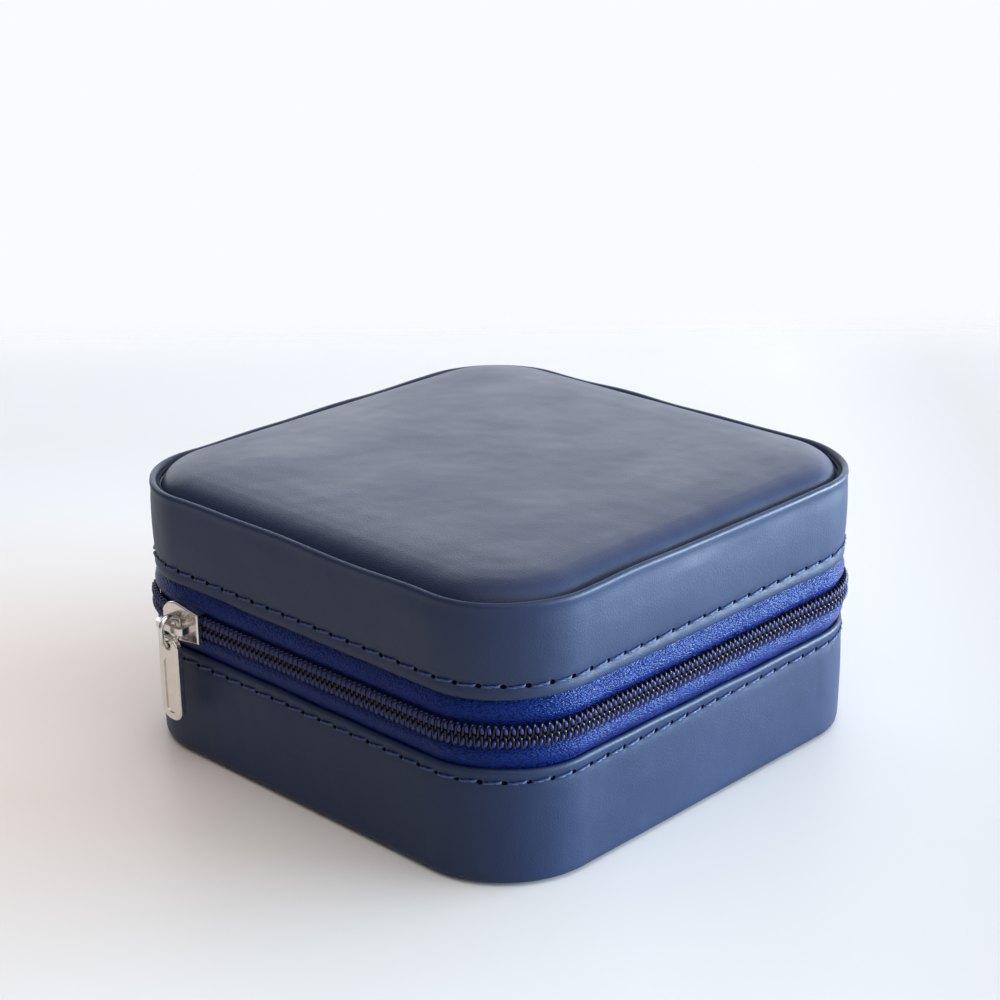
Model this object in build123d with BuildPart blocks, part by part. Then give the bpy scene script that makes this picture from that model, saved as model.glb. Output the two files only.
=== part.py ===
"""Travel jewelry case: a square zip-round leather case with a padded lid, a cloth hinge along
the back, a lined base with ring rolls and compartments, and a lid with necklace tabs.

The origin is the centre of the resting face. +Z is up, the hinge is along +Y and the zip's
slider parks near the hinge end of the -X side. All sizes are in millimetres.
"""

import os

from build123d import *

# Outside sizes
SIDE = 96.0  # width and depth over the leather
CORNER = 17.2  # outside corner radius, seen from above
BASE_TOP = 20.3  # upper edge of the base's leather band
LID_BOTTOM = 32.1  # lower edge of the lid's leather band
RIM_TOP = 48.0  # top of the lid's turned rim
CROWN_TOP = 50.2  # highest point of the padded top panel
MID = (BASE_TOP + LID_BOTTOM) / 2  # zip centre line and hinge axis height
HALF = SIDE / 2

# Sheet thicknesses
LEATHER = 0.9
TAPE = 0.5
VELVET = 1.0
CARD = 0.6
SKIN = 0.8  # thinner leather of the two flat panels

# Layers of the side wall, as distances inside the outside face
TAPE_IN = LEATHER + TAPE  # inner face of the zip tape
BOARD_IN = 3.0  # inner face of the stiff board
LINER_IN = BOARD_IN + VELVET  # inner face of the velvet wall lining
TAPE_REACH = 4.5  # how far the tape runs under each leather band
HINGE_LEATHER_OUT = 0.3  # outer face of the hinge leather
REAR_CUT = HALF - 2.6  # Y where the tapes end and the hinge strip begins
CUT_GAP = 0.1  # half the gap left at such a cut
SPLIT_GAP = 0.05  # half the gap between the two halves at the hinge axis

# Heights in the base and the lid
TURN_IN_TOP = SKIN + CARD
FLOOR_TOP = 3.2  # top of the base board's floor
PAD_TOP = FLOOR_TOP + VELVET
CEILING = 43.2  # lowest face of the lid's velvet ceiling
LID_BOARD_BOTTOM = CEILING + VELVET
LID_BOARD_TOP = 45.8
LIP = 0.5  # each wall lining stops this far from the mid plane

# Zip chain
COIL_OUT = 0.8  # how far the coil stands proud of the leather
COIL_HALF_GAP = 0.6  # half the channel between the coil halves
COIL_HALF_WIDTH = 2.1
COIL_END = HALF - 3.5  # Y where both coil halves stop on the rear corners

# Slider, parked on the -X side
SLIDER_Y = 28.0
SLIDER_HALF_LENGTH = 4.7
SLIDER_CLEAR = 0.6  # free length of coil channel at each end of the parked slider
PLATE_IN = HALF + 1.0  # inner face of the slider's outer plate, as a distance along -X
PLATE_OUT = HALF + 1.9
BACK_PLATE_OUT = HALF - 1.65
BACK_PLATE_IN = HALF - 2.45
CROWN_IN = HALF + 3.8  # inner face of the crown's bar
CROWN_OUT = HALF + 4.7
CROWN_HALF_WIDTH = 0.6
CROWN_AXIS = (CROWN_IN + CROWN_OUT) / 2  # the link turns about this line, at height MID

# Pull link and tab
LINK_WIRE = 0.5  # radius
LINK_BEND = 1.7  # radius of the link's round ends, to the wire's centre
LINK_LENGTH = 1.5  # between the centres of the two ends
TAB_EYE_Z = MID - LINK_LENGTH - LINK_BEND
TAB_EYE_RADIUS = 0.9
TAB_THICKNESS = 1.2
TAB_HALF_WIDTH = 2.6
TAB_BOTTOM = 9.0
TAB_TOP = TAB_EYE_Z + 1.5
TAB_CORNER = 2.2
PANEL_TOP = TAB_EYE_Z - 2.4  # the shallow panel sunk into each face of the tab
PANEL_BOTTOM = TAB_BOTTOM + 1.3
PANEL_HALF_WIDTH = 1.3

# Inside of the base
DIVIDER = 2.0
ROLL_COUNT = 7
ROLL_TOP = 20.5
DIVIDER_TOP = 19.0
CROSS_TOP = 18.4
CROSS_Y = 15.0
SEAT_GAP = 0.15  # clearance round pieces that drop into the base

# Inside of the lid
STRIP_THICKNESS = 1.1
STRIP_LENGTH = 66.0
STRIP_WIDTH = 7.0
TAB_PIVOT_Y = -38.5
NECK_TAB_LENGTH = 16.0
NECK_TAB_WIDTH = 9.0
NECK_TAB_THICKNESS = 1.0
NECK_TAB_XS = (-23.0, 0.0, 23.0)
NECK_TAB_TOP = CEILING - STRIP_THICKNESS - 0.05
SNAP_Y = TAB_PIVOT_Y + 12.5
POCKET_X = 38.0
POCKET_FRONT = 10.0
POCKET_BACK = 41.0
POCKET_DEPTH = 2.6
CLOTH = 0.6


def outline(inset, z):
    """Rounded square face at height z, inset from the outside of the case."""
    with BuildSketch(Plane.XY.offset(z)) as sketch:
        RectangleRounded(SIDE - 2 * inset, SIDE - 2 * inset, CORNER - inset)
    return sketch.sketch


def ring(outer, inner, z):
    """Rounded square ring at height z, between two insets."""
    with BuildSketch(Plane.XY.offset(z)) as sketch:
        RectangleRounded(SIDE - 2 * outer, SIDE - 2 * outer, CORNER - outer)
        RectangleRounded(SIDE - 2 * inner, SIDE - 2 * inner, CORNER - inner, mode=Mode.SUBTRACT)
    return sketch.sketch


def rear_plane(y):
    """Upright plane across the case at Y = y, with its top side towards the front."""
    return Plane.XZ.offset(-y)


def save(piece, name):
    """Labels a finished sub-part and writes its STEP file."""
    piece.part.label = name
    export_step(piece.part, f"parts/{name}.step")


os.makedirs("parts", exist_ok=True)

# ---------------------------------------------------------------- base shell and covers
with BuildPart() as base_panel:
    extrude(outline(1.6, 0), amount=SKIN)
    fillet(base_panel.faces().sort_by(Axis.Z)[0].edges(), 0.35)
save(base_panel, "base_panel")

with BuildPart() as base_card:
    extrude(outline(4.1, SKIN), amount=CARD)
save(base_card, "base_card")

# The side leather turns in under the board, and the bottom panel covers the turned edge.
with BuildPart() as base_band:
    extrude(ring(0, LEATHER, SKIN), amount=BASE_TOP - SKIN)
    extrude(ring(LEATHER, 4.0, SKIN), amount=CARD)
    fillet(base_band.faces().sort_by(Axis.Z)[0].outer_wire().edges(), 0.5)
    fillet(base_band.faces().sort_by(Axis.Z)[-1].outer_wire().edges(), 0.3)
save(base_band, "base_band")

with BuildPart() as base_shell:
    extrude(outline(LEATHER, TURN_IN_TOP), amount=FLOOR_TOP - TURN_IN_TOP)
    extrude(ring(LEATHER, BOARD_IN, FLOOR_TOP), amount=BASE_TOP - TAPE_REACH - FLOOR_TOP)
    extrude(ring(TAPE_IN, BOARD_IN, BASE_TOP - TAPE_REACH), amount=TAPE_REACH)
save(base_shell, "base_shell")

with BuildPart() as base_liner:
    extrude(ring(BOARD_IN, LINER_IN, FLOOR_TOP), amount=MID - LIP - FLOOR_TOP)
    fillet(base_liner.faces().sort_by(Axis.Z)[-1].edges(), 0.4)
save(base_liner, "base_liner")

with BuildPart() as base_floor_pad:
    extrude(outline(LINER_IN, FLOOR_TOP), amount=VELVET)
save(base_floor_pad, "base_floor_pad")

# ---------------------------------------------------------------- lid shell and covers
with BuildPart() as lid_band:
    extrude(ring(0, LEATHER, LID_BOTTOM), amount=RIM_TOP - LID_BOTTOM)
    extrude(ring(LEATHER, 2.4, RIM_TOP - SKIN), amount=SKIN)
    extrude(ring(1.7, 2.4, LID_BOARD_TOP), amount=RIM_TOP - SKIN - LID_BOARD_TOP)
    fillet(lid_band.faces().sort_by(Axis.Z)[-1].edges(), 0.65)
    fillet(lid_band.faces().sort_by(Axis.Z)[0].outer_wire().edges(), 0.3)
save(lid_band, "lid_band")

with BuildPart() as lid_shell:
    extrude(ring(TAPE_IN, BOARD_IN, LID_BOTTOM), amount=TAPE_REACH)
    lid_wall_bottom = LID_BOTTOM + TAPE_REACH
    extrude(ring(LEATHER, BOARD_IN, lid_wall_bottom), amount=LID_BOARD_BOTTOM - lid_wall_bottom)
    extrude(outline(LEATHER, LID_BOARD_BOTTOM), amount=LID_BOARD_TOP - LID_BOARD_BOTTOM)
    extrude(ring(LEATHER, 1.7, LID_BOARD_TOP), amount=RIM_TOP - SKIN - LID_BOARD_TOP)
save(lid_shell, "lid_shell")

FOAM_TOP = CROWN_TOP - SKIN
FOAM_INSET = 3.4
with BuildPart() as lid_foam:
    extrude(outline(FOAM_INSET, LID_BOARD_TOP), amount=FOAM_TOP - LID_BOARD_TOP)
    fillet(lid_foam.faces().sort_by(Axis.Z)[-1].edges(), 2.6)
save(lid_foam, "lid_foam")

# The top panel is one leather skin drawn over the foam and down behind the rim.
with BuildPart() as lid_panel:
    extrude(outline(FOAM_INSET - SKIN, LID_BOARD_TOP), amount=CROWN_TOP - LID_BOARD_TOP)
    fillet(lid_panel.faces().sort_by(Axis.Z)[-1].edges(), 2.6 + SKIN)
    add(lid_foam.part, mode=Mode.SUBTRACT)
save(lid_panel, "lid_panel")

with BuildPart() as lid_liner:
    extrude(ring(BOARD_IN, LINER_IN, MID + LIP), amount=LID_BOARD_BOTTOM - MID - LIP)
    fillet(lid_liner.faces().sort_by(Axis.Z)[0].edges(), 0.4)
save(lid_liner, "lid_liner")

with BuildPart() as lid_ceiling_pad:
    extrude(outline(LINER_IN, CEILING), amount=VELVET)
save(lid_ceiling_pad, "lid_ceiling_pad")

# ---------------------------------------------------------------- zip tapes and chain
TAPE_HEIGHT = TAPE_REACH + MID - COIL_HALF_GAP - BASE_TOP

with BuildPart() as zip_tape_lower:
    extrude(ring(LEATHER, TAPE_IN, BASE_TOP - TAPE_REACH), amount=TAPE_HEIGHT)
    split(bisect_by=rear_plane(REAR_CUT - CUT_GAP), keep=Keep.TOP)
save(zip_tape_lower, "zip_tape_lower")

with BuildPart() as zip_tape_upper:
    extrude(ring(LEATHER, TAPE_IN, MID + COIL_HALF_GAP), amount=TAPE_HEIGHT)
    split(bisect_by=rear_plane(REAR_CUT - CUT_GAP), keep=Keep.TOP)
save(zip_tape_upper, "zip_tape_upper")

COIL_WIDTH = COIL_HALF_WIDTH - COIL_HALF_GAP

with BuildPart() as zip_coil_lower:
    extrude(ring(-COIL_OUT, LEATHER, MID - COIL_HALF_WIDTH), amount=COIL_WIDTH)
    split(bisect_by=rear_plane(COIL_END), keep=Keep.TOP)
save(zip_coil_lower, "zip_coil_lower")

# The upper coil is left out where the parked slider sits, so that the lid can lift away.
with BuildPart() as zip_coil_upper:
    extrude(ring(-COIL_OUT, LEATHER, MID + COIL_HALF_GAP), amount=COIL_WIDTH)
    split(bisect_by=rear_plane(COIL_END), keep=Keep.TOP)
    with Locations((-HALF, SLIDER_Y, MID + COIL_HALF_WIDTH / 2)):
        Box(6, 2 * (SLIDER_HALF_LENGTH + SLIDER_CLEAR), COIL_HALF_WIDTH + 1, mode=Mode.SUBTRACT)
save(zip_coil_upper, "zip_coil_upper")

# ---------------------------------------------------------------- hinge strip along the back
with BuildPart() as hinge_leather_lower:
    extrude(ring(HINGE_LEATHER_OUT, LEATHER, BASE_TOP), amount=MID - SPLIT_GAP - BASE_TOP)
    split(bisect_by=rear_plane(REAR_CUT + CUT_GAP), keep=Keep.BOTTOM)
save(hinge_leather_lower, "hinge_leather_lower")

with BuildPart() as hinge_leather_upper:
    extrude(ring(HINGE_LEATHER_OUT, LEATHER, MID + SPLIT_GAP), amount=MID - SPLIT_GAP - BASE_TOP)
    split(bisect_by=rear_plane(REAR_CUT + CUT_GAP), keep=Keep.BOTTOM)
save(hinge_leather_upper, "hinge_leather_upper")

LINING_HEIGHT = TAPE_REACH + MID - SPLIT_GAP - BASE_TOP

with BuildPart() as hinge_lining_lower:
    extrude(ring(LEATHER, TAPE_IN, BASE_TOP - TAPE_REACH), amount=LINING_HEIGHT)
    split(bisect_by=rear_plane(REAR_CUT + CUT_GAP), keep=Keep.BOTTOM)
save(hinge_lining_lower, "hinge_lining_lower")

with BuildPart() as hinge_lining_upper:
    extrude(ring(LEATHER, TAPE_IN, MID + SPLIT_GAP), amount=LINING_HEIGHT)
    split(bisect_by=rear_plane(REAR_CUT + CUT_GAP), keep=Keep.BOTTOM)
save(hinge_lining_upper, "hinge_lining_upper")


# ---------------------------------------------------------------- zip slider and pull
def slider_outline(x, shrink):
    """Face plate outline at X = -x: straight flanks widen to the shoulders, then round off."""
    half_length = SLIDER_HALF_LENGTH - shrink
    tail, shoulder, nose = 2.7 - shrink, 3.45 - shrink, 1.4 - shrink / 2
    with BuildSketch(Plane.YZ.offset(-x)) as sketch:
        with Locations((SLIDER_Y, MID)):
            with BuildLine() as edge:
                flank = Line((-half_length, tail), (0.6, shoulder))
                shoulder_arc = ThreePointArc(flank @ 1, (3.3, 2.9 - shrink), (half_length, nose))
                Line(shoulder_arc @ 1, (half_length, 0))
                Line(flank @ 0, (-half_length, 0))
                mirror(about=Plane.XZ)
            make_face(edge.edges())
    return sketch.sketch.moved(Location((0, SLIDER_Y, MID)))


with BuildPart() as slider_body:
    extrude(slider_outline(PLATE_OUT, 0), amount=PLATE_OUT - PLATE_IN)
    fillet(slider_body.faces().sort_by(Axis.X)[0].edges(), 0.3)
    # The flanges hang from the flanks and stop short of the tape.
    extrude(slider_outline(PLATE_IN, 0), amount=PLATE_IN - (HALF - 0.65))
    with Locations((-(PLATE_IN + HALF - 0.65) / 2, SLIDER_Y, MID)):
        Box(PLATE_IN - HALF + 0.65, 20, 4.8, mode=Mode.SUBTRACT)
    extrude(slider_outline(BACK_PLATE_OUT, 0.2), amount=BACK_PLATE_OUT - BACK_PLATE_IN)
    # The post parts the two coil halves and joins the plates.
    with Locations((-(PLATE_IN + BACK_PLATE_OUT) / 2, SLIDER_Y + 2.6, MID)):
        Box(PLATE_IN - BACK_PLATE_OUT, 2.4, 1.0)
save(slider_body, "slider_body")

with BuildPart() as slider_crown:
    with BuildSketch(Plane.XY.offset(MID)) as crown_side:
        with Locations((-(PLATE_OUT + CROWN_OUT) / 2, SLIDER_Y)):
            Rectangle(CROWN_OUT - PLATE_OUT, 7.0)
        with Locations((-(PLATE_OUT + CROWN_IN) / 2, SLIDER_Y)):
            Rectangle(CROWN_IN - PLATE_OUT, 4.6, mode=Mode.SUBTRACT)
    extrude(amount=CROWN_HALF_WIDTH, both=True)
    crown_top_edges = slider_crown.edges().filter_by(Axis.Z).group_by(Axis.X)[0]
    fillet(crown_top_edges, 0.8)
save(slider_crown, "slider_crown")

with BuildPart() as pull_link:
    with BuildLine(Plane.XZ.offset(-SLIDER_Y)) as link_path:
        top = (-CROWN_AXIS, MID)
        bottom = (-CROWN_AXIS, MID - LINK_LENGTH)
        CenterArc(top, LINK_BEND, 0, 180)
        Line((top[0] - LINK_BEND, top[1]), (bottom[0] - LINK_BEND, bottom[1]))
        CenterArc(bottom, LINK_BEND, 180, 180)
        Line((bottom[0] + LINK_BEND, bottom[1]), (top[0] + LINK_BEND, top[1]))
    wire_plane = Plane(origin=(-CROWN_AXIS + LINK_BEND, SLIDER_Y, MID), z_dir=(0, 0, 1))
    with BuildSketch(wire_plane):
        Circle(LINK_WIRE)
    sweep()
save(pull_link, "pull_link")

with BuildPart() as pull_tab:
    with BuildSketch(Plane.YZ.offset(-CROWN_AXIS - TAB_THICKNESS / 2)):
        with Locations((SLIDER_Y, (TAB_TOP + TAB_BOTTOM) / 2)):
            RectangleRounded(2 * TAB_HALF_WIDTH, TAB_TOP - TAB_BOTTOM, TAB_CORNER)
    extrude(amount=TAB_THICKNESS)
    fillet(pull_tab.faces().filter_by(Axis.X).edges(), 0.25)
    # A long shallow panel is sunk into both faces.
    for face_x in (-CROWN_AXIS - TAB_THICKNESS / 2, -CROWN_AXIS + TAB_THICKNESS / 2):
        with BuildSketch(Plane.YZ.offset(face_x)):
            with Locations((SLIDER_Y, (PANEL_TOP + PANEL_BOTTOM) / 2)):
                RectangleRounded(2 * PANEL_HALF_WIDTH, PANEL_TOP - PANEL_BOTTOM, 1.2)
        extrude(amount=0.2, both=True, mode=Mode.SUBTRACT)
    with BuildSketch(Plane.YZ.offset(-CROWN_AXIS)):
        with Locations((SLIDER_Y, TAB_EYE_Z)):
            Circle(TAB_EYE_RADIUS)
    extrude(amount=TAB_THICKNESS, both=True, mode=Mode.SUBTRACT)
save(pull_tab, "pull_tab")

# ---------------------------------------------------------------- fittings in the base
ROLL_LEFT = -(HALF - LINER_IN - SEAT_GAP)
ROLL_RIGHT = -DIVIDER / 2 - SEAT_GAP
ROLL_PITCH = 2 * (HALF - LINER_IN) / ROLL_COUNT
ROLL_WIDTH = ROLL_PITCH - 0.3

for number in range(ROLL_COUNT):
    roll_y = (number - (ROLL_COUNT - 1) / 2) * ROLL_PITCH
    shoulder_z = ROLL_TOP - ROLL_WIDTH / 2
    with BuildPart() as ring_roll:
        with BuildSketch(Plane.YZ.offset(ROLL_LEFT)):
            with BuildLine():
                left, right = roll_y - ROLL_WIDTH / 2, roll_y + ROLL_WIDTH / 2
                Polyline((left, shoulder_z), (left, PAD_TOP), (right, PAD_TOP), (right, shoulder_z))
                ThreePointArc((right, shoulder_z), (roll_y, ROLL_TOP), (left, shoulder_z))
            make_face()
        extrude(amount=ROLL_RIGHT - ROLL_LEFT)
        extrude(outline(LINER_IN + SEAT_GAP, PAD_TOP), amount=ROLL_TOP, mode=Mode.INTERSECT)
    save(ring_roll, f"ring_roll_{number + 1}")

with BuildPart() as main_divider:
    reach = HALF - LINER_IN - SEAT_GAP
    with BuildSketch(Plane.XY.offset(PAD_TOP)):
        Rectangle(DIVIDER, 2 * reach)
    extrude(amount=DIVIDER_TOP - PAD_TOP)
    fillet(main_divider.faces().sort_by(Axis.Z)[-1].edges().filter_by(Axis.Y), 0.9)
save(main_divider, "main_divider")

CROSS_LEFT = DIVIDER / 2 + SEAT_GAP
CROSS_RIGHT = HALF - LINER_IN - SEAT_GAP
for cross_y, cross_name in ((-CROSS_Y, "cross_divider_front"), (CROSS_Y, "cross_divider_back")):
    with BuildPart() as cross_divider:
        with BuildSketch(Plane.XY.offset(PAD_TOP)):
            with Locations(((CROSS_LEFT + CROSS_RIGHT) / 2, cross_y)):
                Rectangle(CROSS_RIGHT - CROSS_LEFT, DIVIDER)
        extrude(amount=CROSS_TOP - PAD_TOP)
        fillet(cross_divider.faces().sort_by(Axis.Z)[-1].edges().filter_by(Axis.X), 0.9)
    save(cross_divider, cross_name)

# ---------------------------------------------------------------- fittings in the lid
with BuildPart() as necklace_strip:
    with BuildSketch(Plane.XY.offset(CEILING - STRIP_THICKNESS)):
        with Locations((0, TAB_PIVOT_Y + 1.5)):
            RectangleRounded(STRIP_LENGTH, STRIP_WIDTH, 1.5)
    extrude(amount=STRIP_THICKNESS)
save(necklace_strip, "necklace_strip")

# Three necklace tabs hang from the strip's front edge and snap shut towards the hinge.
for tab_x, side_name in zip(NECK_TAB_XS, ("left", "middle", "right")):
    with BuildPart() as necklace_tab:
        with BuildSketch(Plane.XY.offset(NECK_TAB_TOP - NECK_TAB_THICKNESS)):
            with Locations((tab_x, TAB_PIVOT_Y + NECK_TAB_LENGTH / 2)):
                RectangleRounded(NECK_TAB_WIDTH, NECK_TAB_LENGTH, 3.0)
            with Locations((tab_x, SNAP_Y)):
                Circle(1.5, mode=Mode.SUBTRACT)
        extrude(amount=NECK_TAB_THICKNESS)
    save(necklace_tab, f"necklace_tab_{side_name}")

    with BuildPart() as snap_cap:
        cap_top = NECK_TAB_TOP - NECK_TAB_THICKNESS
        with BuildSketch(Plane.XY.offset(cap_top)):
            with Locations((tab_x, SNAP_Y)):
                Circle(3.4)
        extrude(amount=-0.9)
        fillet(snap_cap.faces().sort_by(Axis.Z)[0].edges(), 0.6)
    save(snap_cap, f"snap_cap_{side_name}")

with BuildPart() as snap_studs:
    with BuildSketch(Plane.XY.offset(CEILING)):
        with Locations(*[(tab_x, SNAP_Y) for tab_x in NECK_TAB_XS]):
            Circle(2.9)
    extrude(amount=-0.9)
    with BuildSketch(Plane.XY.offset(CEILING - 0.9)):
        with Locations(*[(tab_x, SNAP_Y) for tab_x in NECK_TAB_XS]):
            Circle(1.2)
    extrude(amount=-0.7)
save(snap_studs, "snap_studs")

# The pocket is a shallow cloth box on the ceiling, open towards the necklace tabs.
with BuildPart() as chain_pocket:
    pocket_y = (POCKET_FRONT + POCKET_BACK) / 2
    pocket_length = POCKET_BACK - POCKET_FRONT
    with BuildSketch(Plane.XY.offset(CEILING - POCKET_DEPTH)):
        with Locations((0, pocket_y)):
            Rectangle(2 * POCKET_X, pocket_length)
    extrude(amount=POCKET_DEPTH)
    with BuildSketch(Plane.XY.offset(CEILING - POCKET_DEPTH + CLOTH)):
        with Locations((0, pocket_y - CLOTH)):
            Rectangle(2 * (POCKET_X - CLOTH), pocket_length)
    extrude(amount=POCKET_DEPTH, mode=Mode.SUBTRACT)
save(chain_pocket, "chain_pocket")

with BuildPart() as pocket_elastic:
    with BuildSketch(Plane.XY.offset(CEILING - POCKET_DEPTH)):
        with Locations((0, POCKET_FRONT + 1.8)):
            RectangleRounded(2 * POCKET_X, 3.0, 0.4)
    extrude(amount=-0.5)
save(pocket_elastic, "pocket_elastic")
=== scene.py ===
"""Looks of the travel jewelry case: leather, zip, padding, velvet fittings, light and camera.

Lengths in this file are millimetres in the CAD frame and are turned into metres when a mesh is
made. A place round the case is given by its distance along the outside outline, starting at the
middle of the back and going past the -X side, and by its offset outwards from the leather.
"""

import math
from collections import namedtuple

import bpy
import numpy as np
from mathutils import Euler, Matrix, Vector


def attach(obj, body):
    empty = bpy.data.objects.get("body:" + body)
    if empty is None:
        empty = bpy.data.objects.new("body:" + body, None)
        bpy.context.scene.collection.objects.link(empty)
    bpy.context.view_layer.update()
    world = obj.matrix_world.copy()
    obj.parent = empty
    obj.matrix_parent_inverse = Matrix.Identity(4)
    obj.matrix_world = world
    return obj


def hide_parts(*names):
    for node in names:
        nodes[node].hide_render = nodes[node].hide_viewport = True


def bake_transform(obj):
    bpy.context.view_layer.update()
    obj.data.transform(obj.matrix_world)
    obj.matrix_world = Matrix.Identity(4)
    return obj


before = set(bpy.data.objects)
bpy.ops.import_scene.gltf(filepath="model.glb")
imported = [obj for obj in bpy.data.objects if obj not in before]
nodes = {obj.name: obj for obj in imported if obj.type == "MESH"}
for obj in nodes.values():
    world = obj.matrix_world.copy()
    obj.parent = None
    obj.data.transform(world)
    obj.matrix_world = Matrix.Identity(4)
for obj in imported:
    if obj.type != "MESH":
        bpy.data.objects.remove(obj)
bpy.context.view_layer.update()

# Driving dimensions, the same as the CAD part's.
MM = 0.001
SIDE = 96.0  # width of the square plan
CORNER = 17.2  # radius of its corners
STRAIGHT = SIDE - 2 * CORNER
ARC = math.pi / 2 * CORNER
QUARTER = STRAIGHT + ARC
LENGTH = 4 * QUARTER  # once round the outline
MID = 26.2  # height of the zip's middle
BASE_TOP = 20.3  # edge of the base leather
LID_BOTTOM = 32.1  # edge of the lid leather
STITCH_COUNT = 91
STITCH_PITCH = LENGTH / STITCH_COUNT
BASE_STITCH_Z = 18.2
LID_STITCH_Z = 34.5
# Nothing stands out past the hinge axis, so the lid can fold flat against the base.
REAR_LIMIT = SIDE / 2 + 0.02
rng = np.random.default_rng(7)


# -------- geometry tools
def outline(s, out=0.0):
    """Points and outward normals on the outline, shifted outwards by out."""
    s = np.asarray(s, float)
    shifted = np.mod(s + STRAIGHT / 2, LENGTH)
    side = np.floor(shifted / QUARTER).astype(int) % 4
    u = shifted - side * QUARTER
    angle = math.pi / 2 * (side + 1)
    turn = np.maximum(u - STRAIGHT, 0) / CORNER
    along = np.minimum(u, STRAIGHT) - STRAIGHT / 2
    nx, ny = np.cos(angle), np.sin(angle)
    rx, ry = np.cos(angle + turn), np.sin(angle + turn)
    inner = SIDE / 2 - CORNER
    x = nx * inner - ny * along + rx * CORNER
    y = ny * inner + nx * along + ry * CORNER
    return np.stack([x + rx * out, y + ry * out], -1), np.stack([rx, ry], -1)


def place(s, out, z):
    """3-D points at distance s, offset out and height z, each an array of one shape."""
    s, out, z = np.broadcast_arrays(np.asarray(s, float), out, z)
    flat, normal = outline(s)
    return np.stack(
        [flat[..., 0] + normal[..., 0] * out, flat[..., 1] + normal[..., 1] * out, z], -1
    )


def smooth_line(points, count):
    """Resamples a line of control points with a Catmull-Rom curve, evenly by length."""
    p = np.array(points, float)
    ends = np.vstack([2 * p[0] - p[1], p, 2 * p[-1] - p[-2]])
    fine = []
    for i in range(len(p) - 1):
        a, b, c, d = ends[i : i + 4]
        t = np.linspace(0, 1, 12, endpoint=False)[:, None]
        square, cube = 2 * a - 5 * b + 4 * c - d, 3 * b - a - 3 * c + d
        fine.append(0.5 * (2 * b + (c - a) * t + square * t**2 + cube * t**3))
    fine = np.vstack(fine + [p[-1:]])
    run = np.concatenate([[0], np.cumsum(np.linalg.norm(np.diff(fine, axis=0), axis=1))])
    at = np.linspace(0, run[-1], count)
    return np.stack([np.interp(at, run, fine[:, k]) for k in range(fine.shape[1])], -1)


def ripple(s, amount, seed, waves=(3, 5, 7, 11, 13)):
    """Soft unevenness round the outline: a few sine waves with fixed phases."""
    phases = np.random.default_rng(seed).uniform(0, 2 * math.pi, len(waves))
    total = sum(
        np.cos(2 * math.pi * k * np.asarray(s) / LENGTH + p) for k, p in zip(waves, phases)
    )
    return amount * total / len(waves)


class Bag:
    """Collects vertices, faces and texture coordinates for one mesh."""

    def __init__(self):
        self.verts, self.faces, self.uvs, self.count = [], [], [], 0

    def grid(self, points, wrap_rows=False, wrap_cols=False, uv=None):
        """Adds a sheet of quads; points has the shape rows, columns, 3."""
        rows, cols = points.shape[:2]
        i = np.arange(rows if wrap_rows else rows - 1)[:, None]
        j = np.arange(cols if wrap_cols else cols - 1)[None, :]
        a, b = i + 0 * j, j + 0 * i
        corners = [(a, b), (a + 1, b), (a + 1, b + 1), (a, b + 1)]
        index = [(p % rows) * cols + (q % cols) for p, q in corners]
        self.faces.append(np.stack(index, -1).reshape(-1, 4) + self.count)
        self.verts.append(points.reshape(-1, 3))
        if uv is None:
            uv = (np.arange(rows + 1.0), np.arange(cols + 1.0))
        u, v = uv
        self.uvs.append(np.stack([np.stack([u[p], v[q]], -1) for p, q in corners], -2).reshape(-1, 2))
        self.count += rows * cols

    def fan(self, centre, ring):
        """Closes the end of a tube with a cap of thin quads folded onto its middle."""
        size = len(ring)
        cap = np.stack([np.repeat(centre[None], size, 0), ring])
        self.grid(cap, wrap_cols=True)

    def mesh(self, name, surface, body=None):
        """Makes the object, with one material, and lets it ride on a body."""
        verts = np.vstack(self.verts)
        verts[:, 1] = np.minimum(verts[:, 1], REAR_LIMIT)
        faces = np.vstack(self.faces)
        data = bpy.data.meshes.new(name)
        data.from_pydata((verts * MM).tolist(), [], faces.tolist())
        layer = data.uv_layers.new(name="UVMap")
        layer.data.foreach_set("uv", np.vstack(self.uvs).ravel().astype(np.float32))
        data.polygons.foreach_set("use_smooth", [True] * len(data.polygons))
        data.materials.append(surface)
        obj = bpy.data.objects.new(name, data)
        bpy.context.scene.collection.objects.link(obj)
        if body:
            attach(obj, body)
        return obj


def tube_rings(path, radius, sides, reference):
    """Rings of points round a path. radius may differ along it; reference fixes the roll."""
    path = np.asarray(path, float)
    tangent = np.gradient(path, axis=0)
    tangent /= np.linalg.norm(tangent, axis=1)[:, None]
    ref = np.broadcast_to(np.asarray(reference, float), path.shape)
    one = ref - tangent * np.sum(ref * tangent, 1)[:, None]
    one /= np.linalg.norm(one, axis=1)[:, None]
    two = np.cross(tangent, one)
    angle = np.linspace(0, 2 * math.pi, sides, endpoint=False)
    radius = np.broadcast_to(radius, len(path))[:, None, None]
    turn = one[:, None] * np.cos(angle)[None, :, None] + two[:, None] * np.sin(angle)[None, :, None]
    return path[:, None] + radius * turn


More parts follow.
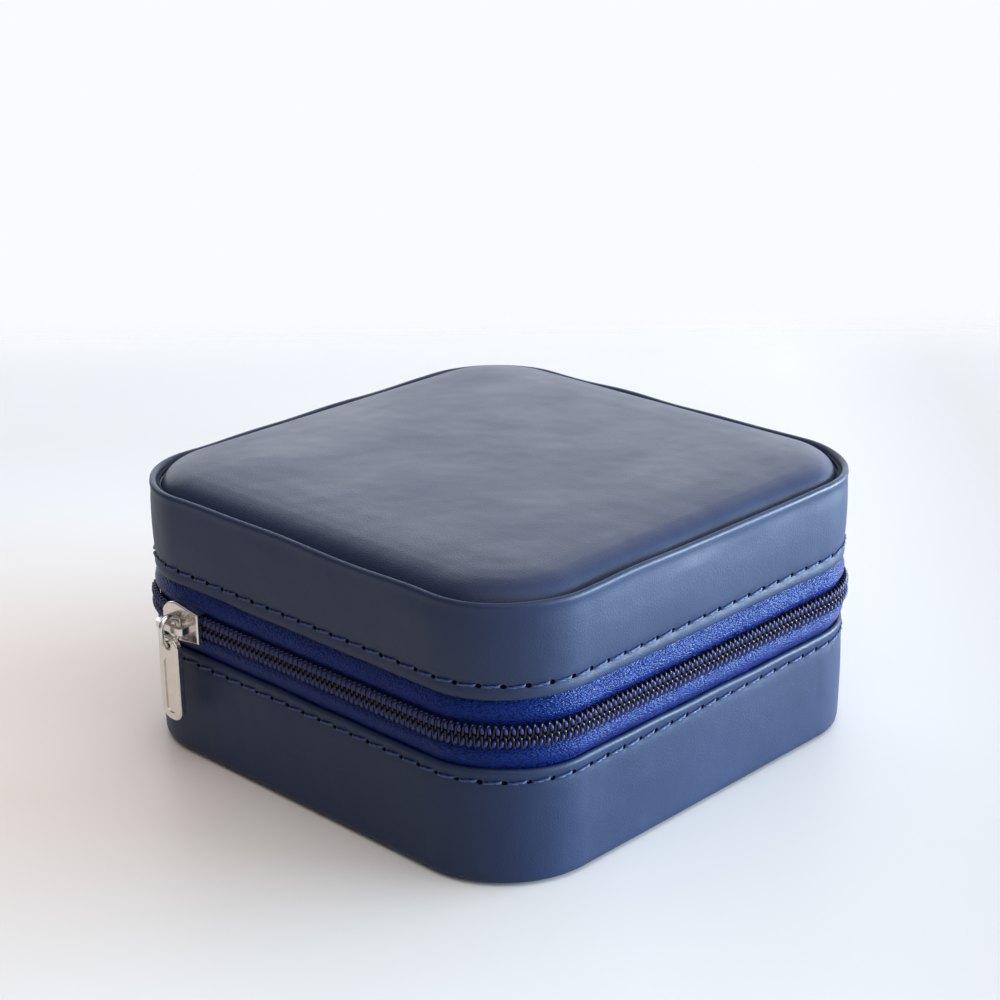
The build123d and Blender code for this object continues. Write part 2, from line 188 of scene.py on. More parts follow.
def band(name, profile, surface, body, s=None, count=28, step=0.65, wobble=None, closed=True):
    """A strip swept round the outline. profile lists (out, z) points and may close on itself."""
    line = smooth_line(profile, count)
    wrap = s is None
    if wrap:
        # A whole number of rows per stitch, so every needle hole is dented alike.
        rows = (int(LENGTH / step) // STITCH_COUNT + 1) * STITCH_COUNT
        s = np.linspace(0, LENGTH, rows, endpoint=False)
    out = np.repeat(line[None, :, 0], len(s), 0)
    z = np.repeat(line[None, :, 1], len(s), 0)
    if wobble:
        extra_out, extra_z = wobble(s[:, None] + 0 * out, out, z)
        out, z = out + extra_out, z + extra_z
    points = place(np.repeat(s[:, None], count, 1), out, z)
    across = np.concatenate([[0], np.cumsum(np.linalg.norm(np.diff(line, axis=0), axis=1))])
    bag = Bag()
    uv = (np.append(s, LENGTH), np.append(across, across[-1] + 1))
    bag.grid(points, wrap_rows=wrap, wrap_cols=closed, uv=uv)
    if not wrap and closed:
        for row, inward in ((points[0], False), (points[-1], True)):
            ring = row if inward else row[::-1]
            bag.fan(ring.mean(0), ring)
    return bag.mesh(name, surface, body)


# -------- materials
def node_maker(tree):
    """A helper that adds a node, with its settings given as attributes or inputs."""
    def node(kind, **settings):
        fresh = tree.nodes.new(kind)
        for key, value in settings.items():
            if hasattr(fresh, key):
                setattr(fresh, key, value)
            else:
                tune(fresh, **{key: value})
        return fresh

    return node


def material(name):
    """A node material, its shader, and the helpers that add nodes and link them."""
    made = bpy.data.materials.new(name)
    made.use_nodes = True
    tree = made.node_tree
    return made, tree.nodes["Principled BSDF"], node_maker(tree), tree.links.new


def tune(target, **values):
    """Sets inputs of a node by name."""
    for name, value in values.items():
        target.inputs[name.replace("_", " ")].default_value = value


def millimetres(node, link, kind="Object", stretch=(1, 1, 1), turn=0.0):
    """Texture coordinates in millimetres, stretched, and turned in their plane."""
    coord = node("ShaderNodeTexCoord")
    mapping = node("ShaderNodeMapping")
    # The UVs made here are in millimetres already.
    unit = 1.0 if kind == "UV" else 1 / MM
    mapping.inputs["Scale"].default_value = [unit * k for k in stretch]
    mapping.inputs["Rotation"].default_value[2] = turn
    link(coord.outputs[kind], mapping.inputs["Vector"])
    return mapping.outputs["Vector"]


def mix_colour(node, link, factor, low, high):
    """A colour that goes from low to high with the factor."""
    ramp = node("ShaderNodeMix", data_type="RGBA")
    link(factor, ramp.inputs["Factor"])
    ramp.inputs["A"].default_value = (*low, 1)
    ramp.inputs["B"].default_value = (*high, 1)
    return ramp.outputs["Result"]


def spread(node, link, value, low, high, from_low=0.3, from_high=0.7, kind="LINEAR"):
    """Stretches the part of a value between from_low and from_high onto low to high."""
    scale = node("ShaderNodeMapRange", interpolation_type=kind)
    tune(scale, From_Min=from_low, From_Max=from_high, To_Min=low, To_Max=high)
    link(value, scale.inputs["Value"])
    return scale.outputs["Result"]


def bump(node, link, height, strength, distance_mm, below=None):
    """A relief from a height, laid over the one below."""
    made = node("ShaderNodeBump", Strength=strength, Distance=distance_mm * MM)
    link(height, made.inputs["Height"])
    if below:
        link(below, made.inputs["Normal"])
    return made.outputs["Normal"]


def leather(name, dark, light, roughness, grain=0.55, depth=0.05, shine=0.34):
    """Smooth grained leather: fine cells, slow patches of tone and gloss, and soft dents."""
    made, shader, node, link = material(name)
    where = millimetres(node, link)
    cells = node("ShaderNodeTexVoronoi", feature="DISTANCE_TO_EDGE", Scale=1 / grain)
    fine = node("ShaderNodeTexNoise", Scale=4.5, Detail=3.0)
    patches = node("ShaderNodeTexNoise", Scale=0.07, Detail=3.0)
    dents = node("ShaderNodeTexNoise", Scale=0.16, Detail=1.0)
    for texture in (cells, fine, patches, dents):
        link(where, texture.inputs["Vector"])
    link(mix_colour(node, link, patches.outputs["Fac"], dark, light), shader.inputs["Base Color"])
    rough = spread(node, link, patches.outputs["Fac"], roughness - 0.04, roughness + 0.05)
    link(rough, shader.inputs["Roughness"])
    slow = bump(node, link, dents.outputs["Fac"], 0.6, 0.25)
    grainy = bump(node, link, cells.outputs["Distance"], 0.5, depth, slow)
    link(bump(node, link, fine.outputs["Fac"], 0.35, depth, grainy), shader.inputs["Normal"])
    tune(shader, Specular_IOR_Level=shine)
    return made


def velvet(name, dark, light, nap=1.0):
    """Velvet: a rough pile with a bright rim and brushed patches."""
    made, shader, node, link = material(name)
    where = millimetres(node, link)
    pile = node("ShaderNodeTexNoise", Scale=6.0, Detail=4.0)
    brushed = node("ShaderNodeTexNoise", Scale=0.09, Detail=4.0, Distortion=0.6)
    link(where, pile.inputs["Vector"])
    link(where, brushed.inputs["Vector"])
    tone = spread(node, link, brushed.outputs["Fac"], 0, 1, 0.35, 0.65)
    link(mix_colour(node, link, tone, dark, light), shader.inputs["Base Color"])
    link(bump(node, link, pile.outputs["Fac"], 0.8, 0.18 * nap), shader.inputs["Normal"])
    tune(shader, Roughness=0.95, Specular_IOR_Level=0.15, Sheen_Weight=0.9, Sheen_Roughness=0.35,
         Sheen_Tint=(0.45, 0.55, 0.95, 1))
    return made


def woven(name, dark, light, pitch=0.75, depth=0.12, roughness=0.5):
    """Cloth with a slanted twill, from texture coordinates that run along and across it."""
    made, shader, node, link = material(name)
    where = millimetres(node, link, kind="UV")
    slant = node("ShaderNodeTexWave", Scale=1 / (pitch * 6.28), Distortion=1.2, Detail=2.0)
    slant.inputs["Detail Scale"].default_value = 2.0
    slant.bands_direction = "DIAGONAL"
    across = node("ShaderNodeTexVoronoi", Scale=1 / (pitch * 0.8), Randomness=0.55)
    fuzz = node("ShaderNodeTexNoise", Scale=3.5, Detail=3.0)
    for texture in (slant, across, fuzz):
        link(where, texture.inputs["Vector"])
    both = node("ShaderNodeMath", operation="SUBTRACT")
    link(slant.outputs["Fac"], both.inputs[0])
    link(across.outputs["Distance"], both.inputs[1])
    tone = spread(node, link, both.outputs["Value"], 0, 1, -0.6, 0.9)
    link(mix_colour(node, link, tone, dark, light), shader.inputs["Base Color"])
    ribs = bump(node, link, both.outputs["Value"], 0.7, depth)
    link(bump(node, link, fuzz.outputs["Fac"], 0.4, depth * 0.5, ribs), shader.inputs["Normal"])
    tune(shader, Roughness=roughness, Sheen_Weight=0.25, Sheen_Tint=(0.4, 0.55, 1.0, 1))
    return made


def grained_tape(name, dark, light, size=0.46, depth=0.16, roughness=0.36):
    """Coated tape: short slanted creases pressed into a shiny blue face."""
    made, shader, node, link = material(name)
    where = millimetres(node, link, kind="UV", stretch=(1.0, 2.3, 1.0), turn=0.6)
    creases = node("ShaderNodeTexVoronoi", feature="SMOOTH_F1", Scale=1 / size, Smoothness=0.35)
    fine = node("ShaderNodeTexNoise", Scale=3.2, Detail=3.0)
    tone = node("ShaderNodeTexNoise", Scale=0.5, Detail=3.0)
    for texture in (creases, fine, tone):
        link(where, texture.inputs["Vector"])
    # Painted shade: the colour is darker down in the pressed creases, and a slow random tone is laid
    # over it.
    crease_shade = spread(node, link, creases.outputs["Distance"], 1.0, 0.0, 0.15, 0.75)
    patchy = spread(node, link, tone.outputs["Fac"], 0.75, 1.15)
    crease_shade_and_tone = node("ShaderNodeMath", operation="MULTIPLY")
    link(crease_shade, crease_shade_and_tone.inputs[0])
    link(patchy, crease_shade_and_tone.inputs[1])
    link(mix_colour(node, link, crease_shade_and_tone.outputs["Value"], dark, light), shader.inputs["Base Color"])
    pressed = bump(node, link, creases.outputs["Distance"], 1.0, -depth)
    link(bump(node, link, fine.outputs["Fac"], 0.5, depth * 0.5, pressed), shader.inputs["Normal"])
    tune(shader, Roughness=roughness, Specular_IOR_Level=0.3, Specular_Tint=(0.3, 0.5, 1.0, 1))
    return made


def metal(name, low, high, roughness):
    """Polished metal with faint clouds of tone and gloss."""
    made, shader, node, link = material(name)
    where = millimetres(node, link)
    cloud = node("ShaderNodeTexNoise", Scale=0.8, Detail=4.0)
    fine = node("ShaderNodeTexNoise", Scale=9.0, Detail=2.0)
    link(where, cloud.inputs["Vector"])
    link(where, fine.inputs["Vector"])
    link(mix_colour(node, link, cloud.outputs["Fac"], low, high), shader.inputs["Base Color"])
    rough = spread(node, link, cloud.outputs["Fac"], roughness - 0.05, roughness + 0.08)
    link(rough, shader.inputs["Roughness"])
    link(bump(node, link, fine.outputs["Fac"], 0.2, 0.01), shader.inputs["Normal"])
    tune(shader, Metallic=1.0)
    return made


def speckled(name, low, high, roughness, scale, depth, **values):
    """Board, foam, thread and nylon: a mottled tone with a matching fine relief."""
    made, shader, node, link = material(name)
    where = millimetres(node, link)
    speck = node("ShaderNodeTexNoise", Scale=scale, Detail=5.0)
    link(where, speck.inputs["Vector"])
    tone = spread(node, link, speck.outputs["Fac"], 0, 1)
    link(mix_colour(node, link, tone, low, high), shader.inputs["Base Color"])
    link(bump(node, link, speck.outputs["Fac"], 0.5, depth), shader.inputs["Normal"])
    tune(shader, Roughness=roughness, **values)
    return made


NAVY_DARK, NAVY_LIGHT = (0.009, 0.019, 0.054), (0.014, 0.027, 0.074)
band_leather = leather("navy_leather", NAVY_DARK, NAVY_LIGHT, 0.46)
base_leather = leather("navy_leather_base", NAVY_DARK, NAVY_LIGHT, 0.46, shine=0.27)
top_leather = leather("navy_leather_top", NAVY_DARK, NAVY_LIGHT, 0.44, grain=0.5, depth=0.07)
thin_leather = leather("navy_leather_thin", (0.012, 0.022, 0.060), (0.018, 0.032, 0.085), 0.5)
tape_cloth = grained_tape("zip_tape_cloth", (0.0007, 0.003, 0.038), (0.004, 0.020, 0.19))
nylon = speckled("zip_nylon", (0.002, 0.002, 0.006), (0.008, 0.006, 0.013), 0.25, 1.5, 0.01,
                 Specular_Tint=(0.85, 0.70, 0.72, 1))
tape_thread = speckled("zip_thread", (0.002, 0.007, 0.075), (0.007, 0.024, 0.17), 0.5, 5.0, 0.04)
stitch_thread = speckled("stitch_thread", (0.010, 0.024, 0.085), (0.042, 0.078, 0.22), 0.5, 5.0, 0.05)
# Painted shade: near-black, almost unreflecting discs that stand for the shade inside each needle hole.
hole_shade = speckled("needle_hole_shade", (0.0003, 0.0003, 0.001), (0.001, 0.001, 0.003), 0.9, 3.0, 0.02,
                      Specular_IOR_Level=0.02)
wall_velvet = velvet("navy_velvet", (0.007, 0.012, 0.050), (0.014, 0.024, 0.090))
roll_velvet = velvet("navy_velvet_rolls", (0.009, 0.015, 0.060), (0.018, 0.030, 0.11), nap=1.3)
elastic_cloth = woven("elastic_cloth", (0.003, 0.006, 0.025), (0.008, 0.016, 0.06), pitch=0.5)
nickel = metal("nickel", (0.66, 0.62, 0.57), (0.80, 0.77, 0.73), 0.2)
grey_board = speckled("grey_board", (0.22, 0.20, 0.17), (0.36, 0.33, 0.29), 0.9, 1.2, 0.05)
navy_board = speckled("navy_board", (0.006, 0.009, 0.028), (0.012, 0.018, 0.050), 0.9, 1.2, 0.05)

for node_name, node_object in nodes.items():
    node_object.data.materials.clear()
    metal_node = node_name.startswith(("slider", "pull", "snap"))
    board = navy_board if node_name.endswith("_shell") else grey_board
    node_object.data.materials.append(nickel if metal_node else board)


# -------- leather bands
HOLE_DENT = 0.34  # how deep the thread pulls the leather in at a needle hole
DENT_WIDTH = 0.33
FINE_WAVES = (17, 23, 31)
EDGE_WAVES = (9, 14, 22)


def near_holes(s, z, row_z):
    """1 at each needle hole of a stitched row, falling to 0 within a millimetre."""
    along = np.mod(s / STITCH_PITCH + 0.5, 1) - 0.5
    return np.exp(-((along * STITCH_PITCH) ** 2 + (z - row_z) ** 2) / (2 * DENT_WIDTH**2))


def outer_face(out):
    """1 on the outer face of a band, 0 on its inner side."""
    return np.clip(out * 4 + 1, 0, 1)


def base_wobble(s, out, z):
    """Unevenness of the base leather, outwards and upwards."""
    swell = ripple(s, 0.10, 11) * np.sin(np.clip(z / BASE_TOP, 0, 1) * math.pi)
    edge = np.clip((z - 17) / 3, 0, 1)
    dent = HOLE_DENT * near_holes(s, z, BASE_STITCH_Z)
    extra_out = outer_face(out) * (swell - dent) + 0.05 * edge * ripple(s, 1, 12, FINE_WAVES)
    return extra_out, 0.12 * edge * ripple(s, 1, 13, EDGE_WAVES)


def lid_wobble(s, out, z):
    """Unevenness of the lid leather, outwards and upwards; its rim waves a little more."""
    height = np.clip((z - LID_BOTTOM) / 16, 0, 1)
    swell = ripple(s, 0.16, 21) * np.sin(height * math.pi)
    edge = np.clip((35 - z) / 3, 0, 1)
    rim = np.clip((z - 44) / 3, 0, 1)
    dent = HOLE_DENT * near_holes(s, z, LID_STITCH_Z)
    face = outer_face(out) * (z < 46.8)
    shift = 0.05 * edge * ripple(s, 1, 22, FINE_WAVES) + rim * ripple(s, 0.16, 23, (8, 12, 19))
    extra_z = 0.12 * edge * ripple(s, 1, 24, EDGE_WAVES) + rim * ripple(s, 0.22, 25, (4, 9, 15))
    return face * (swell - dent) + shift, extra_z


def finish_piece(made, slot_name, *names):
    """Hides the CAD nodes that a piece takes the place of."""
    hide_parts(*names)


# From under the bottom, up the face and its stitched groove, over the edge and down inside.
base_profile = [
    (-2.6, 0.62), (-1.5, 0.52), (-0.7, 0.42), (-0.24, 0.62), (-0.04, 1.2), (0.03, 2.4), (0.10, 7.0),
    (0.12, 10.5), (0.07, 14.0), (0.0, 16.6), (-0.10, 17.65), (-0.15, 18.2), (-0.10, 18.75),
    (0.01, 19.35), (0.0, 19.85), (-0.14, 20.22), (-0.42, 20.36), (-0.72, 20.25), (-0.86, 19.9),
    (-0.88, 18.2), (-0.88, 14.5),
]
base_band = band("base_leather", base_profile, base_leather, "base", count=44,
                 wobble=base_wobble, closed=False)
finish_piece(base_band, "navy_leather", "base_band")

# From inside, round the lower edge, up the face, over the turned rim and down to the padding.
lid_profile = [
    (-0.88, 37.5), (-0.88, 34.1), (-0.86, 32.5), (-0.72, 32.15), (-0.42, 32.04), (-0.14, 32.18),
    (0.0, 32.55), (0.01, 33.3), (-0.10, 33.95), (-0.15, 34.5), (-0.10, 35.05), (0.0, 36.0),
    (0.12, 38.5), (0.16, 41.0), (0.10, 44.0), (-0.02, 46.0), (-0.02, 46.8), (0.06, 47.3),
    (0.02, 47.75), (-0.22, 48.05), (-0.58, 48.1), (-0.92, 47.95), (-1.14, 47.6), (-1.25, 47.1),
    (-1.45, 46.7), (-2.0, 46.45), (-3.2, 46.3),
]
lid_band = band("lid_leather", lid_profile, band_leather, "lid", count=56,
                wobble=lid_wobble, closed=False)
finish_piece(lid_band, "navy_leather", "lid_band")

HOLE_LEVEL = -0.165  # where the disc of painted shade for a needle hole's dark mouth lies
STITCH_HALF = 1.62
STITCH_RADIUS = 0.175
PLY_SHARE = 0.8  # radius of one ply as a share of the stitch's radius
PLY_TURN = 4.2


def stitches(name, row_z, wobble, body):
    """A saddle-stitched row: plump slanted stitches that dive at each end into a needle hole, whose
    dark mouth is a disc of painted shade.
    """
    threads, hole_shade_discs = Bag(), Bag()
    t = np.linspace(-1, 1, 11)
    for k in range(STITCH_COUNT):
        middle = (k + 0.5) * STITCH_PITCH
        half = STITCH_HALF + rng.uniform(-0.08, 0.08)
        lean = 0.14 + rng.uniform(-0.05, 0.07)
        s = middle + t * half
        z = row_z + lean * t + rng.uniform(-0.05, 0.05)
        out = -0.16 + 0.25 * (1 - t**6) - 0.34 * t**12
        shift_out, _ = wobble(s, np.zeros_like(s), z * 0 + row_z + 3)
        path = place(s, out + shift_out * 0.5, z)
        radius = STITCH_RADIUS * (1 - 0.35 * t**6)
        _, normal = outline(s)
        # Each stitch is two plies twisted round one another.
        for ply in (0, math.pi):
            twist = ply + t * PLY_TURN
            shift = np.column_stack([normal * (0.09 * np.sin(twist))[:, None], 0.10 * np.cos(twist)])
            rings = tube_rings(path + shift, radius * PLY_SHARE, 7, (0, 0, 1))
            threads.grid(rings, wrap_cols=True)
            threads.fan(path[0], rings[0][::-1])
            threads.fan(path[-1], rings[-1])
        # A near-black disc of painted shade stands for the shadowed mouth of each needle hole.
        centre = k * STITCH_PITCH
        turn = np.linspace(0, 2 * math.pi, 14, endpoint=False)
        wide, tall = 0.50 + rng.uniform(-0.05, 0.07), 0.37 + rng.uniform(-0.04, 0.05)
        ring = place(centre + wide * np.cos(turn), HOLE_LEVEL, row_z + tall * np.sin(turn))
        hole_shade_discs.fan(place(centre, HOLE_LEVEL - 0.07, row_z), ring)
    made = threads.mesh(name, stitch_thread, body)
    dark = hole_shade_discs.mesh(name + "_holes", hole_shade, body)


stitches("base_stitches", BASE_STITCH_Z, base_wobble, "base")
stitches("lid_stitches", LID_STITCH_Z, lid_wobble, "lid")

# -------- padded top
PAD_HALF = 46.05  # half the width of the padded panel
PAD_CORNER = 15.3
PAD_CELLS = 96
SEAM_DEPTH = 0.6  # the leather is held within this distance of its seam

# A padded piece for the cloth simulation: its places at rest, how firmly each is held, the
# pressure inside, the largest shift that is kept, and the share of it that each place takes.
Padding = namedtuple("Padding", "piece rest hold pressure cap freedom")


def pad_height(depth):
    """Height of the padding at a distance in from its seam."""
    knots = [(0, 46.75), (0.25, 47.15), (0.7, 47.9), (1.4, 48.65), (2.4, 49.25), (4.0, 49.75),
             (6.5, 50.1), (11, 50.4), (20, 50.6), (47, 50.75)]
    x, y = zip(*knots)
    return np.interp(depth, x, y)


def padded_top():
    """The padded panel: leather held at its seam, swollen and relaxed over its foam as cloth."""
    grid = np.linspace(-1, 1, PAD_CELLS + 1)
    # The rings close up towards the seam, where the leather curves most.
    grid = np.sign(grid) * (1 - (1 - np.abs(grid)) ** 1.35)
    u, v = np.meshgrid(grid, grid, indexing="ij")
    reach = np.maximum(np.abs(u), np.abs(v)) + 1e-9
    du, dv = u / reach, v / reach
    inner = PAD_HALF - PAD_CORNER
    ax, ay = np.abs(du) * PAD_HALF, np.abs(dv) * PAD_HALF
    beyond = (ax > inner) & (ay > inner)
    # Where a ray from the middle meets the round corner: the far root of a quadratic.
    b = -(ax + ay) * inner
    a = np.maximum(ax**2 + ay**2, 1e-9)
    root = np.sqrt(np.maximum(b**2 - a * (2 * inner**2 - PAD_CORNER**2), 0))
    ratio = np.where(beyond, (-b + root) / a, 1.0)
    scale = 1 + (ratio - 1) * reach**3
    x, y = u * PAD_HALF * scale, v * PAD_HALF * scale
    qx, qy = np.abs(x) - inner, np.abs(y) - inner
    outside = np.hypot(np.maximum(qx, 0), np.maximum(qy, 0)) + np.minimum(np.maximum(qx, qy), 0)
    depth = np.maximum(PAD_CORNER - outside, 0)
    z = pad_height(depth)
    points = np.stack([x, y, z], -1)
    bag = Bag()
    bag.grid(points)
    pad = bag.mesh("padded_top", top_leather)
    rest = points.reshape(-1, 3)
    depth = depth.ravel()
    soft = 0.10 + 0.06 * np.sin(rest[:, 0] * 0.11 + 1.3) * np.sin(rest[:, 1] * 0.09 + 0.4)
    hold = np.where(depth < SEAM_DEPTH, 1.0, np.clip(soft, 0.02, 0.2))
    return Padding(pad, rest, hold, 1.0, 0.35, 0.8 * np.clip(depth / 1.5, 0, 1))


# -------- zip
ZIP_START = 43.5  # from the middle of the back to the first tooth
ZIP_END = LENGTH - ZIP_START
# The lower tape's section: up behind the leather, out over its edge, and back to the coil.
TAPE_LINE = [
    (-0.98, 16.0), (-0.98, 19.0), (-0.92, 20.0), (-0.66, 20.6), (-0.22, 21.4), (0.10, 22.2),
    (0.16, 22.9), (0.02, 23.5), (-0.28, 23.95), (-0.50, 24.4), (-0.55, 25.1), (-0.60, 25.7),
    (-0.80, 25.95), (-1.05, 25.9), (-1.20, 25.4), (-1.15, 24.2), (-0.85, 22.8), (-1.0, 21.4),
    (-1.32, 20.4), (-1.36, 19.2), (-1.36, 16.0),
]


def tape(name, flip, body, node_name):
    """One half of the zip tape; the upper half is the lower one mirrored."""
    line = [(out, 2 * MID - z) for out, z in TAPE_LINE][::-1] if flip else TAPE_LINE
    s = np.arange(ZIP_START - 3, ZIP_END + 3.01, 0.7)
    seed = 31 if flip else 32

    def wobble(s, out, z):
        visible = np.clip(1 - np.abs(np.abs(z - MID) - 3.6) / 2.2, 0, 1)
        return visible * (ripple(s, 0.10, seed, (9, 15, 21, 33)) + 0.02 * np.sin(s * 5.1)), 0 * z

    made = band(name, line, tape_cloth, body, s=s, count=44, wobble=wobble)
    finish_piece(made, "zip_tape", node_name)


tape("zip_tape_lower_cloth", False, "base", "zip_tape_lower")
tape("zip_tape_upper_cloth", True, "lid", "zip_tape_upper")

COIL_PITCH = 1.17
COIL_WIRE = 0.21  # radius of the nylon wire
COIL_REACH = 0.98  # half the height of a loop
COIL_OFFSET = 0.86  # from the zip's middle to the middle of a loop
COIL_OUT = 0.20
COIL_DEPTH = 0.36


def coil(name, flip, body, node_name):
    """Half a coil chain: a flat spiral whose heads reach between the other half's heads."""
    turns = int((ZIP_END - ZIP_START) / COIL_PITCH)
    phase = np.linspace(0, turns * 2 * math.pi, turns * 18 + 1)
    start = ZIP_START + (COIL_PITCH / 2 if flip else 0)
    s = start + COIL_PITCH * phase / (2 * math.pi)
    c, d = np.cos(phase), np.sin(phase)
    reach = np.sign(c) * np.abs(c) ** 0.75 * COIL_REACH
    side = -1 if flip else 1
    z = MID + side * (-COIL_OFFSET + reach)
    out = COIL_OUT + COIL_DEPTH * np.sign(d) * np.abs(d) ** 0.8
    # The front strand leans a little, and the head is pressed slightly wider.
    s = s + 0.12 * np.clip(reach, 0, 2) * np.clip(d, 0, 1)
    path = place(s, out, z)
    _, normal = outline(s)
    along = np.stack([-normal[:, 1], normal[:, 0], np.zeros(len(s))], -1)
    radius = COIL_WIRE * (1 + 0.22 * np.clip(c, 0, 1) ** 3)
    bag = Bag()
    bag.grid(tube_rings(path, radius, 7, along), wrap_cols=True)
    finish_piece(bag.mesh(name, nylon, body), "zip_coil", node_name)
    # A plump thread is pulled down between every two loops.
    cords = Bag()
    t = np.linspace(-1, 1, 9)
    for k in range(turns):
        middle = start + COIL_PITCH * (k + 0.75) + rng.uniform(-0.04, 0.04)
        piece = middle + t * 0.10
        lift = 0.10 + 0.53 * (1 - t**4) - 0.35 * t**8
        height = MID + side * (-1.05 + 0.50 * t)
        thick = 0.31 * (1 - 0.5 * t**4)
        cords.grid(tube_rings(place(piece, lift, height), thick, 8, along[0]), wrap_cols=True)
    cord = cords.mesh(name + "_thread", tape_thread, body)


coil("zip_coil_lower_loops", False, "base", "zip_coil_lower")
coil("zip_coil_upper_loops", True, "lid", "zip_coil_upper")

# -------- cloth hinge
HINGE_REACH = 41.5  # from the middle of the back to the strip's ends


def hinge_strip(name, line, surface, slot_name, names):
    """A strip across the back between the base and the lid."""
    s = np.linspace(-HINGE_REACH, HINGE_REACH, 130)

    def wobble(s, out, z):
        return ripple(s, 0.05, 41, (14, 22, 37)) * np.clip(1 - np.abs(z - MID) / 5, 0, 1), 0 * z

    made = band(name, line, surface, None, s=s, count=70, wobble=wobble)
    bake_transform(made)
    finish_piece(made, slot_name, *names)


def strip_line(outer, inner, low, high):
    """A thin upright sheet's closed profile, with enough points to bend smoothly."""
    up = [(outer, z) for z in np.linspace(low, high, 16)]
    return up + [(inner, z) for z in np.linspace(high, low, 16)]


hinge_strip("hinge_leather", strip_line(-0.32, -0.86, 19.3, 33.1), band_leather, "navy_leather",
            ("hinge_leather_lower", "hinge_leather_upper"))
hinge_strip("hinge_lining", strip_line(-0.94, -1.36, 16.0, 36.4), wall_velvet, "velvet",
            ("hinge_lining_lower", "hinge_lining_upper"))


# -------- soft fittings
LINER_IN = 4.0  # from the outside to the lining's face
PAD_TOP = 4.2  # face of the floor pad
CEILING = 43.2  # face of the ceiling pad
SEAT = LINER_IN + 0.15  # fittings end here, just clear of the lining
SEAM_RADIUS = 0.15  # thickness of the small stitches inside


def lumps(points, seed, size, amount):
    """Soft unevenness in space: a few sine waves in random directions."""
    draw = np.random.default_rng(seed)
    total = 0
    for _ in range(6):
        way = draw.normal(size=3)
        way *= 2 * math.pi / (size * draw.uniform(0.7, 1.5) * np.linalg.norm(way))
        total = total + np.sin(points @ way + draw.uniform(0, 2 * math.pi))
    return amount * total / 6


def rounded_loop(centre, size, radii, step=0.8):
    """Even points and outward normals round a rectangle; radii are its low and high ends'."""
    corners = []
    for sx, sy, radius, first in ((1, 1, radii[1], 0), (-1, 1, radii[1], 90), (-1, -1, radii[0], 180),
                                  (1, -1, radii[0], 270)):
        a = np.radians(np.linspace(first, first + 90, 9))
        hub = (centre[0] + sx * (size[0] / 2 - radius), centre[1] + sy * (size[1] / 2 - radius))
        corners.append(np.stack([hub[0] + radius * np.cos(a), hub[1] + radius * np.sin(a)], -1))
    points = np.vstack(corners + [corners[0][:1]])
    run = np.concatenate([[0], np.cumsum(np.linalg.norm(np.diff(points, axis=0), axis=1))])
    at = np.linspace(0, run[-1], int(run[-1] / step), endpoint=False)
    loop = np.stack([np.interp(at, run, points[:, k]) for k in (0, 1)], -1)
    tangent = np.roll(loop, -1, 0) - np.roll(loop, 1, 0)
    normal = np.stack([tangent[:, 1], -tangent[:, 0]], -1)
    return loop, normal / np.linalg.norm(normal, axis=1)[:, None]


def reach_inside(y, inset):
    """How far an outline inset from the outside reaches along X at Y = y."""
    inner = SIDE / 2 - CORNER
    radius = CORNER - inset
    return inner + np.sqrt(radius**2 - np.clip(np.abs(y) - inner, 0, radius) ** 2)


def bar(name, axis, start, stop, section, surface, body=None, stations=60, round_end=1.0,
        seed=1, lump=0.0):
    """A padded bar along X (axis 0) or Y (axis 1), closed by rounded ends."""
    loop, normal = section
    start, stop = np.broadcast_to(start, len(loop)), np.broadcast_to(stop, len(loop))
    middle = loop.mean(0)
    rows = []
    turn = np.linspace(0, math.pi / 2, 5)
    for share in (0.0, 0.35, 0.7):
        rows.append((0.0, 0.0, middle + (loop - normal * round_end - middle) * share))
    for a in turn:
        rows.append((0.0, round_end * (1 - math.cos(a)), loop - normal * round_end * (1 - math.sin(a))))
    for share in np.linspace(0, 1, stations)[1:-1]:
        rows.append((share, round_end * (1 - 2 * share), loop))
    ending = [(1.0, -shift, flat) for _, shift, flat in rows[:8][::-1]]
    points = []
    for share, shift, flat in rows + ending:
        along = start + (stop - start) * share + shift
        pair = (along, flat[:, 0]) if axis == 0 else (flat[:, 0], along)
        points.append(np.stack([*pair, flat[:, 1]], -1))
    points = np.stack(points)
    if lump:
        swell = lumps(points, seed, 14, lump)
        outward = np.insert(normal, axis, 0, axis=1)
        points = points + outward[None] * swell[..., None]
    girth = np.concatenate([[0], np.cumsum(np.linalg.norm(np.diff(loop, axis=0), axis=1))])
    bag = Bag()
    uv = (points[:, 0, axis], np.append(girth, girth[-1] + 0.8))
    bag.grid(points, wrap_cols=True, uv=(np.append(uv[0], uv[0][-1]), uv[1]))
    return bag.mesh(name, surface, body), points.reshape(-1, 3)


def plate(name, section, edge, surface, body, rings=6, seed=1, lump=0.0):
    """A flat piece. edge lists (out, z) from its upper face round the rim to its lower face."""
    loop, normal = section
    line = smooth_line(edge, 14)
    rows = [np.column_stack([loop + normal * out, np.full(len(loop), z)]) for out, z in line]
    middle = np.append(loop.mean(0), 0)
    shares = np.linspace(0, 1, rings, endpoint=False)
    upper = [middle + (rows[0] - middle) * (share, share, 1) for share in shares]
    lower = [middle + (rows[-1] - middle) * (share, share, 1) for share in shares[::-1]]
    points = np.stack(upper + rows + lower)
    points[..., 2] += lumps(points * (1, 1, 0), seed, 18, lump)
    bag = Bag()
    bag.grid(points, wrap_cols=True)
    return bag.mesh(name, surface, body)


